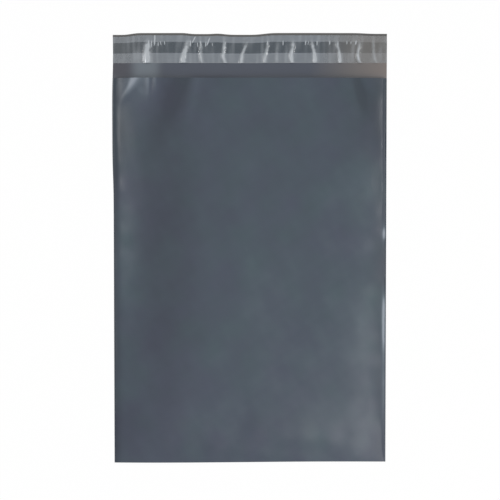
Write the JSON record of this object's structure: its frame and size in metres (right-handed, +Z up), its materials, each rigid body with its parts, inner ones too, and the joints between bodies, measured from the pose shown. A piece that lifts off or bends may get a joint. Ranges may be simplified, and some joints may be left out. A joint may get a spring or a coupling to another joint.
{
  "type": "poly mailer bag",
  "caption": "Flat empty mailing bag of film, folded at the bottom and welded along both sides, with a closing lip, an adhesive line and a peel-off release strip.",
  "frame": {"origin": "on the table, under the middle of the bag's whole length and width", "axes": "+X across the bag, +Y from the bottom fold towards the lip, +Z up from the table, with the mouth side up"},
  "size_m": [0.25, 0.393, 0.0073],
  "materials": {
    "film": "satin blue-grey polyethylene film",
    "adhesive": "clear tacky line over the film",
    "release_liner": "glossy, clear and slightly milky"
  },
  "bodies": {
    "root": {"film_bag": "film", "adhesive_line": "adhesive", "release_strip": "release_liner"}
  },
  "joints": []
}
